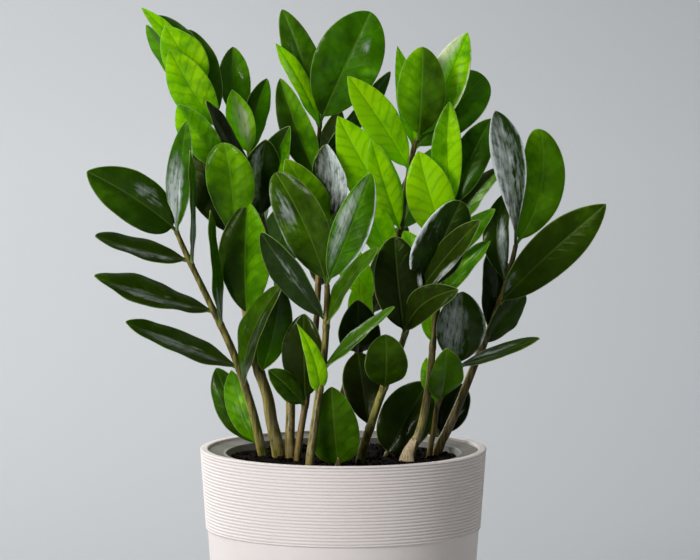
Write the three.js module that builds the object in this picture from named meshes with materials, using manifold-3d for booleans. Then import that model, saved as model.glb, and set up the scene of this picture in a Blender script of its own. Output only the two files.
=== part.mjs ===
// Potted ZZ plant: a ribbed planter, the liner that hangs in it, soil, rhizomes and the fronds.
// Millimetres, +Z up, origin at the middle of the planter's underside, viewer at -Y.
import * as THREE from 'three';
import { mergeVertices } from 'three/addons/utils/BufferGeometryUtils.js';
import Module from 'manifold-3d';

const wasm = await Module();
wasm.setup();

// ---- driving dimensions -------------------------------------------------------------------
const POT_HEIGHT = 190;
const RIM_RADIUS = 100;
const TAPER = 0.07; // radius lost per millimetre going down
const COLLAR_HEIGHT = 56; // the ribbed band below the rim
const COLLAR_STEP = 1.2; // the plain body stands back from it by this much
const WALL = 4;
const FLOOR = 5;
const LIP = 5.5; // width of the rim seen from above
const RIM_BEVEL_WIDTH = 1.2; // the rim's outer edge
const RIM_BEVEL_HEIGHT = 0.8;
const MOUTH_BEVEL = 1; // the rim's inner edge
const FOOT_BEVEL = 2;
const COLLAR_BEVEL = 0.3; // height over which the collar steps out
const RIB_COUNT = 24;
const RIB_DEPTH = 0.5;
const RIB_PITCH = 2.3;
const RIB_RISE = 0.8 * RIB_PITCH; // from a rib's foot up to the groove's bottom
const FIRST_RIB = 0.5; // height of the first rib's foot above the collar's bottom
const LEDGE_DROP = 5; // the ledge that carries the liner, below the rim
const LEDGE_WIDTH = 4;
const LEDGE_HEIGHT = 3;
const LEDGE_SLOPE = 6; // height over which the ledge runs out into the wall
const GAP = 0.3; // left between pieces that touch

const OPENING_RADIUS = 81.5; // the liner's mouth
const SHOULDER_DROP = 3; // the mouth's edge, below the rim
const LINER_WALL = 2;
const LINER_DEPTH = 150;
const DRAIN_RADIUS = 6;
const FLANGE_HEIGHT = 3;
const SHOULDER_HEIGHT = 4; // from the mouth's edge down to the liner's outer wall
const LINER_BEVEL_WIDTH = 1; // the mouth's edge
const LINER_BEVEL_HEIGHT = 0.5;

const SOIL_DROP = 8; // soil surface, below the rim
const SOIL_DEPTH = LINER_DEPTH - LINER_WALL - SOIL_DROP - GAP; // down to the liner's floor
const HOLE_CLEARANCE = 0.6;

const BLADE_EDGE = 0.6; // thickness at a blade's margin
const BLADE_RIB = 1.3; // thickness at its midrib
const STALK_LENGTH = 4.5; // the short stalk between stem and blade
const STALK_WIDTH = 2.4;
const STALK_THICKNESS = 2;
const STALK_END_THICKNESS = 1.4; // at its sides, where the blade begins
const TIP_HALF_WIDTH = 0.4;

const ROUND_SEGMENTS = 24;
const STEM_SIDES = 6;
const RHIZOME_SIDES = 8;
const RHIZOME_ROWS = 5;

// Rhizomes: [x, y, height above the rim, radius across, radius up]
const RHIZOMES = [
  ['rhizome_left', -46, 16, -55, 27, 15],
  ['rhizome_front', -8, -22, -55, 25, 15],
  ['rhizome_middle', 2, 26, -55, 20, 15],
  ['rhizome_right', 48, 8, -55, 24, 15],
];

// Fronds: name, then the stem as [x, y, height above the rim, radius], then its leaflets as
// [height of the base, tip x, tip y, tip height, width, turn, fold, arch, shade].
// turn swings the upper face away from the viewer (0) about the leaflet's own length, fold lifts
// both halves from the midrib, arch bows the middle towards the upper face, and shade runs from
// an old dark leaflet (0) to a new lime one (1).
const FRONDS = [
  ['frond_left',
    [[-50, 24, -50, 4], [-57, 20, -6, 3.4], [-65, 18, 28, 3], [-77, 15, 65, 2.7],
     [-93, 11, 100, 2.3], [-109, 8, 134, 2], [-117, 6, 153, 1.6]],
    [[151, -177, -14, 194, 36, 15, 8, 5, 0.3],
     [150, -108, -14, 229, 20, -10, 25, 1, 0.4],
     [127, -105, -36, 210, 20, 80, 5, 1, 0.3],
     [130, -171, -25, 150, 26, 62, 10, -2, 0.2],
     [94, -172, -20, 122, 32, 62, 10, -2, 0.2],
     [54, -151, -10, 89, 30, 63, 10, 0, 0.2],
     [84, -91, -41, 169, 20, 72, 6, 0, 0.3],
     [40, -42, -28, 117, 29, -58, 12, 10, 0.27]]],
  ['frond_upper_left',
    [[-42, 11, -50, 5.2], [-45, 5, -6, 4.8], [-50, 4, 18, 4.3], [-53, 4, 36, 4],
     [-61, 4, 61, 3.6], [-68, 6, 97, 3.2], [-76, 9, 130, 2.8], [-84, 14, 200, 2.4],
     [-88, 16, 225, 2], [-97, 17, 253, 1.6], [-112, 14, 279, 1.2]],
    [[51, -43, -12, 114, 25, 25, 12, 5, 0.3],
     [90, -66, -2, 172, 38, -18, 8, 5, 0.4],
     [142, -83, 0, 213, 34, -8, 8, 5, 0.56],
     [146, -107, 38, 225, 34, -20, 12, 5, 0.05],
     [198, -114, -5, 240, 26, -20, 10, 3, 0.72],
     [192, -110, 22, 232, 20, -30, 15, 4, 0.6],
     [222, -120, -5, 278, 29, 5, 8, 4, 0.86],
     [250, -123, -6, 294, 30, -5, 10, 3, 0.84],
     [262, -140, 10, 306, 14, 40, 10, 2, 0.95],
     [248, -137, 20, 294, 24, -50, 12, 3, 0.5],
     [246, -130, 30, 300, 24, 20, 12, 4, 0.2],
     [226, -108, 35, 290, 26, 15, 12, 4, 0.3]]],
  ['frond_rear_left',
    [[-30, 18, -50, 4], [-37, 2, -6, 3.6], [-37, 9, 32, 3.2], [-41, 20, 80, 2.9],
     [-48, 30, 121, 2.5], [-58, 38, 160, 2.2], [-66, 45, 202, 1.8], [-73, 48, 226, 1.4]],
    [[222, -78, 60, 277, 24, 10, 20, 4, 0.38],
     [200, -78, 36, 248, 20, -5, 12, 3, 1],
     [200, -54, 54, 255, 20, 30, 12, 1, 0.32],
     [158, -54, 3, 215, 30, 10, 14, 2, 0.1],
     [165, -37, 7, 224, 24, -30, 15, 4, 0.38],
     [183, -95, -11, 242, 20, 62, 10, -1, 0],
     [150, -86, 95, 190, 30, 150, 12, 5, 0.4],
     [120, -40, 100, 165, 30, 190, 12, 5, 0.3]]],
  ['frond_upper_middle',
    [[-34, -3, -50, 2.8], [-32, -6, -6, 2.5], [-26, -2, 33, 2.3], [-22, 5, 54, 2.2],
     [-18, 15, 102, 2.1], [-17, 22, 157, 1.9], [-18, 26, 200, 1.6], [-16, 28, 228, 1.3]],
    [[226, -43, 40, 304, 25, 20, 10, 6, 0.35],
     [226, 19, 20, 303, 47, 0, 8, 5, 0.43],
     [222, -47, 18, 281, 18, 45, 10, 4, 0.95],
     [186, -44, 14, 257, 25, -10, 20, 4, 0.4],
     [145, -40, -4, 202, 30, 5, 10, 4, 0.6],
     [200, 33, 50, 260, 18, 40, 12, 4, 0.12],
     [157, -11, 0, 212, 32, -25, 26, 3, 0.12],
     [32, -27, -12, 95, 32, -20, 12, 4, 0.12],
     [29, -52, -14, 56, 19, 30, 10, 4, 0.3],
     [180, -2, 80, 232, 20, 180, 12, 5, 0.08],
     [110, -2, 84, 165, 26, 175, 12, 5, 0.15]]],
  ['frond_front',
    [[-22, -24, -50, 3.6], [-23, -58, -8, 3.2], [-20.5, -57, 15, 2.9], [-16.5, -51, 44, 2.7],
     [-12.5, -47, 76, 2.5], [-11, -46, 107, 2.2], [-11, -46, 120, 1.7]],
    [[119, -46, -40, 195, 34, -10, 12, 5, 0.35],
     [119, 19, -46, 195, 28, 8, 22, 5, 0.5],
     [94, -56, -50, 155, 25, -30, 12, 5, 0.2],
     [89, 24, -62, 145, 24, -66, 10, 5, 0.4],
     [60, 35, -74, 106, 18, -66, 10, 1, 0.4],
     [46, -32, -62, 94, 15, 25, 10, 3, 1]]],
  ['frond_upper_right',
    [[-2, 26, -50, 4], [-8, 26, -6, 3.5], [3, 25, 44, 3], [10, 24, 62, 2.8],
     [21, 22, 99, 2.7], [38, 22, 143, 2.4], [42, 24, 168, 2.2], [49, 28, 206, 1.8],
     [53, 28, 215, 1.4]],
    [[214, 55, 10, 279, 35, 0, 14, 5, 0.66],
     [213, 87, 32, 288, 30, 0, 22, 4, 0.92],
     [206, 99, 45, 257, 36, -5, 10, 4, 0.37],
     [206, 38, 48, 278, 17, 15, 12, 4, 1],
     [192, 3, 2, 259, 28, 20, 10, 4, 1],
     [154, -4, 8, 231, 37, 12, 10, 5, 1],
     [128, 16, 8, 175, 24, 10, 12, 4, 0.85],
     [99, -4, 12, 146, 22, 0, 12, 4, 1],
     [75, 11, 15, 116, 18, 0, 12, 4, 0.95],
     [64, 10, -15, 105, 30, 0, 10, 8, 0],
     [150, 66, 85, 205, 26, 170, 12, 5, 0.4],
     [90, 44, 94, 150, 28, 165, 12, 5, 0.2],
     [150, 19, -10, 216, 20, 0, 10, 4, 0.95]]],
  ['frond_right_front',
    [[8, -18, -50, 3.6], [12, -21, -6, 3.3], [20, -28, 22, 2.9], [28, -36, 46, 2.7],
     [35, -40, 62, 2.5], [42, -44, 83, 2.2], [51, -46, 114, 1.6]],
    [[113, 80, -60, 177, 36, 8, 12, 5, 0.06],
     [84, 35, -52, 152, 34, 0, 12, 5, 0.02],
     [84, 78, -75, 118, 22, -25, 12, 5, 0.18],
     [46, 29, -64, 86, 30, 0, 10, 5, 0.25],
     [16, 10, 5, 66, 28, 0, 12, 4, 0],
     [109, 93, -76, 165, 21, -38, 12, 3, 0.22]]],
  ['frond_right_middle',
    [[42, -6, -50, 4.6], [45.5, -10, -6, 4.3], [52, -9, 9, 3.2], [56, -8, 23, 2.9],
     [60.5, -5, 51, 2.6], [63, 0, 79, 2.4], [66.5, 4, 103, 2.2], [72, 9, 138, 1.9],
     [77, 11, 169, 1.4]],
    [[167, 74, 10, 241, 22, -5, 15, 2, 0.9],
     [166, 104, 28, 228, 26, -10, 12, 4, 0.27],
     [147, 111, 26, 194, 24, -50, 12, 4, 0.33],
     [101, 102, -5, 145, 20, -50, 12, 3, 0.6],
     [141, 52, 0, 207, 34, 5, 12, 5, 1],
     [70, 58, 8, 96, 12, 0, 10, 3, 0.85],
     [125, 80, 80, 175, 30, 160, 12, 5, 0.3],
     [124, 105, -14, 168, 18, -40, 12, 3, 0.5],
     [112, 42, 20, 150, 18, 0, 10, 3, 0.75]]],
  ['frond_right_small',
    [[58, 5, -50, 2.4], [60.5, 10, -6, 2.1], [63.5, 9, 11, 2], [66, 7, 29, 1.9],
     [72, 4, 43, 1.7], [79, 0, 57, 1.4]],
    [[33, 71, -32, 73, 26, 22, 10, 4, 0.42],
     [56, 83, -8, 110, 35, 0, 10, 5, 0.15],
     [56, 136, -15, 78, 20, -68, 10, 0, 0.2],
     [29, 58, 9, 62, 13, -10, 10, 3, 0.8]]],
  ['frond_right',
    [[57, 17, -50, 3.8], [66, 16, -6, 3.4], [73, 16, 10, 3.2], [81, 18, 28, 3],
     [93, 20, 58, 2.7], [101, 20, 77, 2.5], [114, 20, 112, 2.2], [121, 17, 142, 1.6]],
    [[140, 105, -16, 236, 25, 0, 20, 5, 0.12],
     [141, 137, 8, 222, 32, 5, 10, 5, 0.53],
     [99, 182, -8, 171, 33, 0, 10, 5, 0.32],
     [113, 114, 32, 176, 20, -20, 14, 4, 0.2],
     [77, 105, 40, 136, 26, 20, 12, 4, 0],
     [68, 128, 35, 104, 22, 30, 12, 4, 0.16]]],
  ['shoot_low_left',
    [[-54, 34, -50, 2.6], [-59, 38, -8, 2.2], [-61, 38, 4, 1.6]],
    [[-5, -79, 37, 50, 23, -25, 12, 3, 0.8],
     [-5, -90, 50, 50, 26, -15, 12, 4, 0.3]]],
  ['shoot_low_front',
    [[-8, -30, -50, 2.4], [-4, -40, -12, 2.2], [-3, -42, 0, 1.8]],
    [[-7, -8, -46, 48, 34, 0, 6, 2, 0.38]]],
  ['shoot_low_right',
    [[14, 18, -50, 2.6], [29, 13, -11, 2.1], [31, 13, -4, 1.6]],
    [[-6, 59, 24, 43, 38, -10, 8, 3, 0.12]]],
  ['shoot_low_rear',
    [[57, 27, -50, 2.6], [67, 34, -6, 2.2], [70, 36, 3, 1.7]],
    [[1, 84, 40, 40, 28, -20, 10, 3, 0],
     [-1, 60, 52, 30, 26, 160, 10, 3, 0.1]]],
];

// ---- colours ------------------------------------------------------------------------------
const COLOURS = {
  planter: 0xe6dfdb,
  liner: 0x8c8a80,
  soil: 0x15110d,
  rhizome: 0x8a6f4a,
  foliage: 0x2f5c12,
};

function material(colour, roughness) {
  return new THREE.MeshStandardMaterial({ color: colour, roughness, metalness: 0 });
}

// ---- solids -------------------------------------------------------------------------------
function toSolid(geometry) {
  const bare = geometry.index ? geometry.toNonIndexed() : geometry.clone();
  bare.deleteAttribute('normal');
  bare.deleteAttribute('uv');
  const merged = mergeVertices(bare, 1e-4);
  return new wasm.Manifold(new wasm.Mesh({
    numProp: 3,
    vertProperties: new Float32Array(merged.attributes.position.array),
    triVerts: new Uint32Array(merged.index.array),
  }));
}

function toGeometry(solid) {
  const mesh = solid.getMesh();
  const geometry = new THREE.BufferGeometry();
  geometry.setAttribute('position', new THREE.BufferAttribute(mesh.vertProperties, 3));
  geometry.setIndex(new THREE.BufferAttribute(mesh.triVerts, 1));
  geometry.computeVertexNormals();
  return geometry;
}

function piece(name, geometry, surface) {
  const mesh = new THREE.Mesh(geometry, surface);
  mesh.name = name;
  return mesh;
}

// A solid of revolution about Z from [radius, height] points that close on themselves or the axis.
function turned(profile, segments = ROUND_SEGMENTS) {
  const points = profile.map(([radius, height]) => new THREE.Vector2(radius, height));
  const geometry = new THREE.LatheGeometry(points, segments);
  geometry.rotateX(Math.PI / 2);
  return geometry;
}

// ---- planter ------------------------------------------------------------------------------
const outerRadius = (height) => RIM_RADIUS - (POT_HEIGHT - height) * TAPER;

// Fine grooves run round the collar: each is a V between two flat lands.
function collarProfile() {
  const points = [];
  for (let i = 0; i < RIB_COUNT; i += 1) {
    const foot = POT_HEIGHT - COLLAR_HEIGHT + FIRST_RIB + i * RIB_PITCH;
    points.push([outerRadius(foot), foot]);
    points.push([outerRadius(foot + RIB_RISE) - RIB_DEPTH, foot + RIB_RISE]);
  }
  return points;
}

function planter() {
  const top = POT_HEIGHT;
  const collarBottom = top - COLLAR_HEIGHT;
  const ledge = top - LEDGE_DROP;
  const ledgeFoot = ledge - LEDGE_HEIGHT;
  const mouth = RIM_RADIUS - LIP;
  const inner = (height) => outerRadius(height) - COLLAR_STEP - WALL;
  return turned([
    [0, 0],
    [outerRadius(0) - COLLAR_STEP - FOOT_BEVEL, 0],
    [outerRadius(FOOT_BEVEL) - COLLAR_STEP, FOOT_BEVEL],
    [outerRadius(collarBottom) - COLLAR_STEP, collarBottom],
    [outerRadius(collarBottom), collarBottom + COLLAR_BEVEL],
    ...collarProfile(),
    [outerRadius(top - RIM_BEVEL_HEIGHT), top - RIM_BEVEL_HEIGHT],
    [RIM_RADIUS - RIM_BEVEL_WIDTH, top],
    [mouth + MOUTH_BEVEL, top],
    [mouth, top - MOUTH_BEVEL],
    [mouth, ledge],
    [mouth - LEDGE_WIDTH, ledge],
    [mouth - LEDGE_WIDTH, ledgeFoot],
    [inner(ledgeFoot - LEDGE_SLOPE), ledgeFoot - LEDGE_SLOPE],
    [inner(FLOOR), FLOOR],
    [0, FLOOR],
  ]);
}

// ---- liner --------------------------------------------------------------------------------
const linerRadius = (depth) => OPENING_RADIUS - depth * TAPER;

function liner() {
  const top = POT_HEIGHT;
  const flange = RIM_RADIUS - LIP - GAP;
  const seat = top - LEDGE_DROP + GAP;
  const mouth = top - SHOULDER_DROP;
  const bottom = top - LINER_DEPTH;
  const low = linerRadius(LINER_DEPTH);
  return turned([
    [DRAIN_RADIUS, bottom],
    [low + LINER_WALL, bottom],
    [OPENING_RADIUS + LINER_WALL, mouth - SHOULDER_HEIGHT],
    [flange - LEDGE_WIDTH - LINER_BEVEL_WIDTH, seat],
    [flange, seat],
    [flange, seat + FLANGE_HEIGHT],
    [OPENING_RADIUS + LINER_BEVEL_WIDTH, mouth],
    [OPENING_RADIUS, mouth - LINER_BEVEL_HEIGHT],
    [low, bottom + LINER_WALL],
    [DRAIN_RADIUS, bottom + LINER_WALL],
    [DRAIN_RADIUS, bottom],
  ]);
}

// ---- stems --------------------------------------------------------------------------------
// A closed skin over rings of equal count, with a fan at each end.
function skin(rings) {
  const sides = rings[0].length;
  const positions = rings.flat().flatMap((p) => [p.x, p.y, p.z]);
  const index = [];
  for (let i = 0; i + 1 < rings.length; i += 1) {
    for (let k = 0; k < sides; k += 1) {
      const a = i * sides + k;
      const b = i * sides + (k + 1) % sides;
      index.push(a, b, b + sides, a, b + sides, a + sides);
    }
  }
  const last = (rings.length - 1) * sides;
  for (let k = 1; k + 1 < sides; k += 1) {
    index.push(0, k + 1, k, last, last + k, last + k + 1);
  }
  const geometry = new THREE.BufferGeometry();
  geometry.setAttribute('position', new THREE.Float32BufferAttribute(positions, 3));
  geometry.setIndex(index);
  return geometry;
}

// The stem's centre line, in true heights, and its radius at each control point.
function stemLine(points) {
  const centres = points.map(([x, y, z]) => new THREE.Vector3(x, y, z + POT_HEIGHT));
  return new THREE.CatmullRomCurve3(centres, false, 'catmullrom', 0.5);
}

function stemRadius(points, t) {
  const at = Math.min(t * (points.length - 1), points.length - 1.001);
  const i = Math.floor(at);
  return THREE.MathUtils.lerp(points[i][3], points[i + 1][3], at - i);
}

function ring(centre, radius, tangent) {
  const across = new THREE.Vector3(1, 0, 0).addScaledVector(tangent, -tangent.x).normalize();
  const along = new THREE.Vector3().crossVectors(tangent, across);
  return Array.from({ length: STEM_SIDES }, (_, k) => {
    const angle = (k / STEM_SIDES) * 2 * Math.PI;
    return centre.clone()
      .addScaledVector(across, radius * Math.cos(angle))
      .addScaledVector(along, radius * Math.sin(angle));
  });
}

function stem(points, extra = 0) {
  const [foot, ...rest] = points;
  const line = stemLine([[foot[0], foot[1], foot[2] - extra, foot[3]], ...rest]);
  const steps = points.length - 1;
  const rings = [];
  for (let i = 0; i <= steps; i += 1) {
    const t = i / steps;
    rings.push(ring(line.getPoint(t), stemRadius(points, t) + extra, line.getTangent(t)));
  }
  return skin(rings);
}

function pointAtHeight(points, height) {
  const line = stemLine(points);
  let low = 0;
  let high = 1;
  for (let i = 0; i < 30; i += 1) {
    const middle = (low + high) / 2;
    if (line.getPoint(middle).z < height + POT_HEIGHT) low = middle;
    else high = middle;
  }
  return line.getPoint(low);
}

// ---- leaflets -----------------------------------------------------------------------------
// Half-width of a blade at u along it, as a share of its widest half-width: an oval drawn out
// to a point, and a young leaflet more so.
const BASE_FULLNESS = 0.6;
const tipFullness = (shade) => 0.62 + 0.2 * shade;

function outline(u, shade) {
  const drawn = tipFullness(shade);
  const widest = BASE_FULLNESS / (BASE_FULLNESS + drawn);
  return (u / widest) ** BASE_FULLNESS * ((1 - u) / (1 - widest)) ** drawn;
}

const BLADE_STATIONS = [0.12, 0.4, 0.7, 0.92];

// [distance along, half-width, thickness at the edge, thickness at the midrib] down a leaflet.
function stations(length, width, shade) {
  const blade = length - STALK_LENGTH;
  const row = (u) => [STALK_LENGTH + u * blade, outline(u, shade) * width / 2, BLADE_EDGE, BLADE_RIB];
  return [
    [0, STALK_WIDTH / 2, STALK_THICKNESS, STALK_THICKNESS],
    [STALK_LENGTH, STALK_WIDTH / 2, STALK_END_THICKNESS, STALK_THICKNESS],
    ...BLADE_STATIONS.map(row),
    [length, TIP_HALF_WIDTH, BLADE_EDGE, BLADE_EDGE],
  ];
}

// A blade with three points across its upper face and the same three below, so both faces are
// split into triangles alike.
function leaflet(points, [height, x, y, z, width, turn, fold, arch, shade]) {
  const base = pointAtHeight(points, height);
  const tip = new THREE.Vector3(x, y, z + POT_HEIGHT);
  const axis = tip.clone().sub(base);
  const length = axis.length();
  axis.normalize();
  const facing = new THREE.Vector3(0, -1, 0).addScaledVector(axis, axis.y).normalize();
  const normal = facing.applyAxisAngle(axis, THREE.MathUtils.degToRad(turn));
  const side = new THREE.Vector3().crossVectors(axis, normal);
  const lift = Math.sin(THREE.MathUtils.degToRad(fold));
  const spread = Math.cos(THREE.MathUtils.degToRad(fold));
  const rings = stations(length, width, shade).map(([along, half, edge, rib]) => {
    const u = along / length;
    const spot = (across, up) => base.clone()
      .addScaledVector(axis, along)
      .addScaledVector(side, across * half * spread)
      .addScaledVector(normal, arch * 4 * u * (1 - u) + Math.abs(across) * half * lift + up);
    return [
      spot(-1, edge / 2), spot(0, rib / 2), spot(1, edge / 2),
      spot(1, -edge / 2), spot(0, -rib / 2), spot(-1, -edge / 2),
    ];
  });
  return bladeSkin(rings);
}

// Upper points 0 1 2 and lower points 5 4 3 of each ring face each other across the blade.
function bladeSkin(rings) {
  const positions = rings.flat().flatMap((p) => [p.x, p.y, p.z]);
  const index = [];
  const quad = (a, b, c, d) => index.push(a, b, c, a, c, d);
  for (let i = 0; i + 1 < rings.length; i += 1) {
    const here = i * 6;
    const next = here + 6;
    for (const k of [0, 1]) {
      quad(here + k, here + k + 1, next + k + 1, next + k);
      index.push(here + 5 - k, next + 4 - k, here + 4 - k);
      index.push(here + 5 - k, next + 5 - k, next + 4 - k);
    }
    quad(here + 2, here + 3, next + 3, next + 2);
    quad(here + 5, here, next, next + 5);
  }
  const last = (rings.length - 1) * 6;
  for (const k of [0, 1]) {
    index.push(k, 5 - k, 4 - k, k, 4 - k, k + 1);
    index.push(last + k, last + k + 1, last + 4 - k, last + k, last + 4 - k, last + 5 - k);
  }
  const geometry = new THREE.BufferGeometry();
  geometry.setAttribute('position', new THREE.Float32BufferAttribute(positions, 3));
  geometry.setIndex(index);
  return geometry;
}

function frond(points, leaflets) {
  return leaflets.reduce(
    (solid, row) => solid.add(toSolid(leaflet(points, row))),
    toSolid(stem(points)),
  );
}

// ---- soil and rhizomes --------------------------------------------------------------------
function lump(x, y, z, across, up, extra) {
  const geometry = new THREE.SphereGeometry(1, RHIZOME_SIDES, RHIZOME_ROWS);
  geometry.rotateX(Math.PI / 2);
  geometry.scale(across + extra, across + extra, up + extra);
  geometry.translate(x, y, z + POT_HEIGHT);
  return toSolid(geometry);
}

function soilBlock() {
  const top = POT_HEIGHT - SOIL_DROP;
  const bottom = top - SOIL_DEPTH;
  return toSolid(turned([
    [0, bottom],
    [linerRadius(SOIL_DROP + SOIL_DEPTH) - GAP, bottom],
    [linerRadius(SOIL_DROP) - GAP, top],
    [0, top],
  ]));
}

// ---- assembly -----------------------------------------------------------------------------
const plant = new THREE.Group();
plant.add(piece('planter', planter(), material(COLOURS.planter, 0.6)));
plant.add(piece('liner', liner(), material(COLOURS.liner, 0.7)));

const holes = FRONDS.map(([, points]) => toSolid(stem(points, HOLE_CLEARANCE)));
let soil = soilBlock();
for (const hole of holes) soil = soil.subtract(hole);
for (const [name, x, y, z, across, up] of RHIZOMES) {
  soil = soil.subtract(lump(x, y, z, across, up, GAP));
  let body = lump(x, y, z, across, up, 0);
  for (const hole of holes) body = body.subtract(hole);
  plant.add(piece(name, toGeometry(body), material(COLOURS.rhizome, 0.8)));
}
plant.add(piece('soil', toGeometry(soil), material(COLOURS.soil, 0.95)));

for (const [name, points, leaflets] of FRONDS) {
  plant.add(piece(name, toGeometry(frond(points, leaflets)), material(COLOURS.foliage, 0.35)));
}

export default plant;
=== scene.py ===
"""The looks of a potted ZZ plant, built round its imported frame.

Metres, +Z up, origin at the middle of the planter's underside, viewer at -Y. Shapes are worked out
in millimetres, as a gardener measures them, and become metres when they go into a mesh.
"""
import math
from functools import partialmethod

import bpy
import numpy as np
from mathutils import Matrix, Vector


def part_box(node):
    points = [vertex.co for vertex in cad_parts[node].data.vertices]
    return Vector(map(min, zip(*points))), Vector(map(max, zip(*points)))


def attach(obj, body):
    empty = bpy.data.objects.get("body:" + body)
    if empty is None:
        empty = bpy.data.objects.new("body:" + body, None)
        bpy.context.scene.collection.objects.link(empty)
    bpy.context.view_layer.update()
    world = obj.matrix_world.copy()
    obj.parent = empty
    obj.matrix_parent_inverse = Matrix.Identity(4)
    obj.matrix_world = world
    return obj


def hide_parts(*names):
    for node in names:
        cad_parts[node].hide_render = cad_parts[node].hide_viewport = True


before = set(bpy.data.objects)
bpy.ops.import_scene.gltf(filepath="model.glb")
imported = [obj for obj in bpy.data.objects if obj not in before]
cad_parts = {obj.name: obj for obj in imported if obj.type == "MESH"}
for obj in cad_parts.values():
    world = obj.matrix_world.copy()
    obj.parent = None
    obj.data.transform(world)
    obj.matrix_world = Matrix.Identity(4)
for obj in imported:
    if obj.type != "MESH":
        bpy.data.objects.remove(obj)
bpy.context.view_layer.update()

MM = 0.001
RIM_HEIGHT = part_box("planter")[1].z / MM
SEED = 20


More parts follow.
